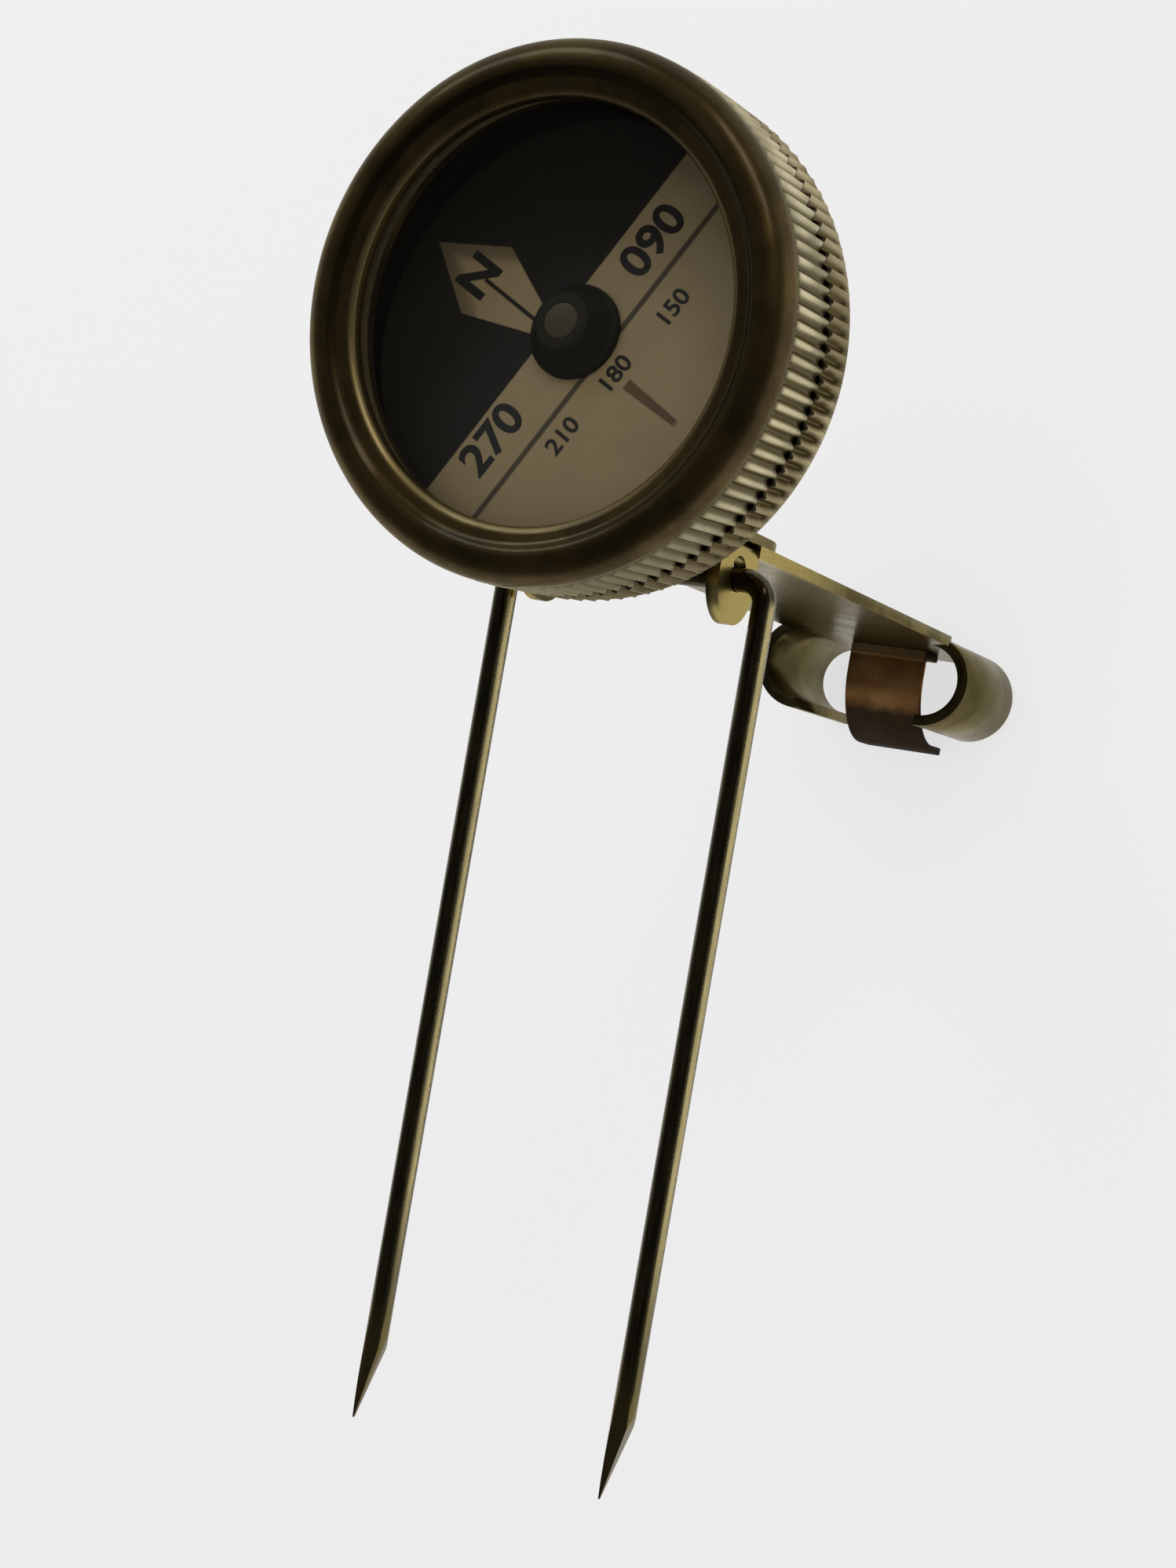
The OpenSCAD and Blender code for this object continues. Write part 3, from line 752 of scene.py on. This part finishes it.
def pointed(shape, centre):
    """Cuts a prong's end to its point: one flat on its right side and one on each face."""
    tip = -PRONG_LENGTH
    neck = tip + POINT_LENGTH
    flank = neck + 1.2
    margin = neck + 4
    tip_width = 0.1
    tip_half = 0.05
    cuts = [((centre + WIRE_R, neck, 0), (centre + tip_width - WIRE_R, tip, 0), (0, 0, 1)),
            ((0, flank, WIRE_R), (0, tip, tip_half), (1, 0, 0)),
            ((0, flank, -WIRE_R), (0, tip, -tip_half), (1, 0, 0))]
    for start, end, along in cuts:
        outward = (Vector(end) - Vector(start)).cross(Vector(along)).normalized()
        if outward.dot(Vector(start) - Vector((centre, start[1], 0))) < 0:
            outward = -outward
        near = [v for v in shape.verts if v.co.y < margin]
        near += [g for g in (*shape.edges, *shape.faces) if all(v.co.y < margin for v in g.verts)]
        cut = bmesh.ops.bisect_plane(shape, geom=near, dist=1e-5, plane_co=start,
                                     plane_no=outward, clear_outer=True)["geom_cut"]
        bmesh.ops.holes_fill(shape, edges=[g for g in cut if isinstance(g, bmesh.types.BMEdge)
                                           and g.is_boundary])
    # the side flat's corners start at its tip, or its triangles would differ between runs
    shape.normal_update()
    flat = max(shape.faces, key=lambda f: f.calc_area() * abs(f.normal.x))
    ring = flat.verts[:]
    first = ring.index(min(ring, key=lambda v: (round(v.co.y, 3), centre * v.co.z)))
    shape.faces.remove(flat)
    shape.faces.new(ring[first:] + ring[:first])


def half_pin(side):
    """Half of the bent wire: cross part, bend, prong and its cut point."""
    cross_steps, bend_steps, prong_steps = 4, 10, 24
    half_cross = PRONG_GAP / 2 - WIRE_BEND
    straight = PRONG_LENGTH - WIRE_BEND
    bend_step = Matrix.Rotation(math.radians(-90 / bend_steps), 3, "Z")
    shape = bmesh.new()
    ring = bmesh.ops.create_circle(shape, radius=WIRE_R, segments=28, cap_ends=False)["verts"]
    bmesh.ops.rotate(shape, verts=ring, cent=(0, 0, 0),
                     matrix=Matrix.Rotation(math.radians(90), 3, "Y"))
    for _ in range(cross_steps):
        ring = drawn_on(shape, ring, (half_cross / cross_steps, 0, 0))
    for _ in range(bend_steps):
        ring = drawn_on(shape, ring, (0, 0, 0))
        bmesh.ops.rotate(shape, verts=ring, cent=(half_cross, -WIRE_BEND, 0), matrix=bend_step)
    for _ in range(prong_steps):
        ring = drawn_on(shape, ring, (0, -straight / prong_steps, 0))
    end = set(ring)
    bmesh.ops.holes_fill(shape, edges=[e for e in shape.edges if e.is_boundary
                                       and end.issuperset(e.verts)])
    if side < 0:
        bmesh.ops.scale(shape, vec=(-1, 1, 1), verts=shape.verts)
    pointed(shape, side * PRONG_GAP / 2)
    return shape


def double_pin():
    """Both halves of the wire, joined at the middle of the cross part."""
    wire = half_pin(1)
    left = half_pin(-1)
    spare = bpy.data.meshes.new("spare")
    left.to_mesh(spare)
    left.free()
    wire.from_mesh(spare)
    bpy.data.meshes.remove(spare)
    bmesh.ops.remove_doubles(wire, verts=wire.verts, dist=1e-4)
    piece("double_pin_wire", wire, ON_PIN, wire_finish(), "pin", ("double_pin",))


# Stage, light and camera

PALE = (0.847, 0.847, 0.847)


def pale_floor():
    """Plain floor just under the clip's lowest edge, in metres."""
    shape = bmesh.new()
    bmesh.ops.create_grid(shape, x_segments=8, y_segments=8, size=4.0)
    bmesh.ops.translate(shape, verts=shape.verts, vec=(0, 0, cad_box[0][2] - 0.0004))
    f = Finish("pale_floor")
    f.set(Base_Color=PALE, Roughness=0.9, Specular_IOR_Level=0.0)
    # the floor is pale to the eye and in the metal, and keeps a soft shadow
    path = f.node("ShaderNodeLightPath")
    seen = f.value(path, "Is Camera Ray").high(f.value(path, "Is Glossy Ray"))
    seen = seen.high(f.value(path, "Is Transmission Ray"))
    glow = f.node("ShaderNodeEmission", Color=(0.864, 0.863, 0.867), Strength=1.0)
    f.blend(seen * 0.8, f.shader, glow)
    mesh = bpy.data.meshes.new("pale_floor")
    shape.to_mesh(mesh)
    shape.free()
    mesh.materials.append(f.material)
    floor = new_object("pale_floor", mesh)


def surroundings():
    """A pale backdrop down at the horizon, in a room that is dim overhead."""
    world = bpy.data.worlds.new("studio")
    bpy.context.scene.world = world
    world.use_nodes = True
    sky = Nodes(world.node_tree)
    _, _, up = sky.split(sky.value(sky.node("ShaderNodeTexCoord"), "Generated"))
    room = sky.node("ShaderNodeValToRGB", first=up)
    stops = room.color_ramp.elements
    stops[0].position = 0.05
    stops[0].color = (*PALE, 1)
    stops[1].position = 0.85
    stops[1].color = (0.07, 0.07, 0.075, 1)
    stops.new(0.28).color = (0.13, 0.13, 0.135, 1)
    path = sky.node("ShaderNodeLightPath")
    shown = sky.mix(sky.value(path, "Is Glossy Ray"), (0.80, 0.79, 0.77), sky.value(room))
    for ray in ("Is Transmission Ray", "Is Camera Ray"):
        shown = sky.mix(sky.value(path, ray), shown, PALE)
    sky.feed(sky.tree.nodes["Background"].inputs["Color"], shown)


def soft_lamp(name, place, size, power, colour):
    """A rectangular lamp that faces the clip, in metres and watts."""
    target = Vector((0.0, -0.005, 0.02))
    lamp = bpy.data.lights.new(name, "AREA")
    lamp.shape = "RECTANGLE"
    lamp.size, lamp.size_y = size
    lamp.energy = power
    lamp.color = colour
    thing = new_object(name, lamp)
    thing.location = place
    thing.rotation_euler = (target - Vector(place)).to_track_quat("-Z", "Y").to_euler()


def photo_camera():
    """The camera that was fitted to the photograph, in metres."""
    camera = bpy.data.cameras.new("photo_camera")
    camera.sensor_fit = "HORIZONTAL"
    camera.sensor_width = 36.0
    camera.lens = 68.24
    camera.clip_start = 0.005
    place = (0.061025, -0.006300, 0.144632)
    right = (0.87935, 0.14046, -0.45498)
    up = (-0.14982, 0.98859, 0.01562)
    back = (0.45199, 0.05443, 0.89036)
    eye = new_object("photo_camera", camera)
    turned = Matrix((right, up, back)).transposed().to_4x4()
    eye.matrix_world = Matrix.Translation(place) @ turned
    bpy.context.scene.camera = eye


bezel()
rear_half()
pane()
small_inner_pieces()
hub()
characters()
clip()
double_pin()
pale_floor()
surroundings()
soft_lamp("window_lamp", (-0.25, 0.36, 0.27), (0.30, 0.14), 0.55, (0.84, 0.93, 1.0))
soft_lamp("warm_lamp", (0.17, 0.38, 0.36), (0.25, 0.12), 0.42, (1.0, 0.95, 0.86))
photo_camera()

bpy.context.scene.view_settings.view_transform = "Standard"
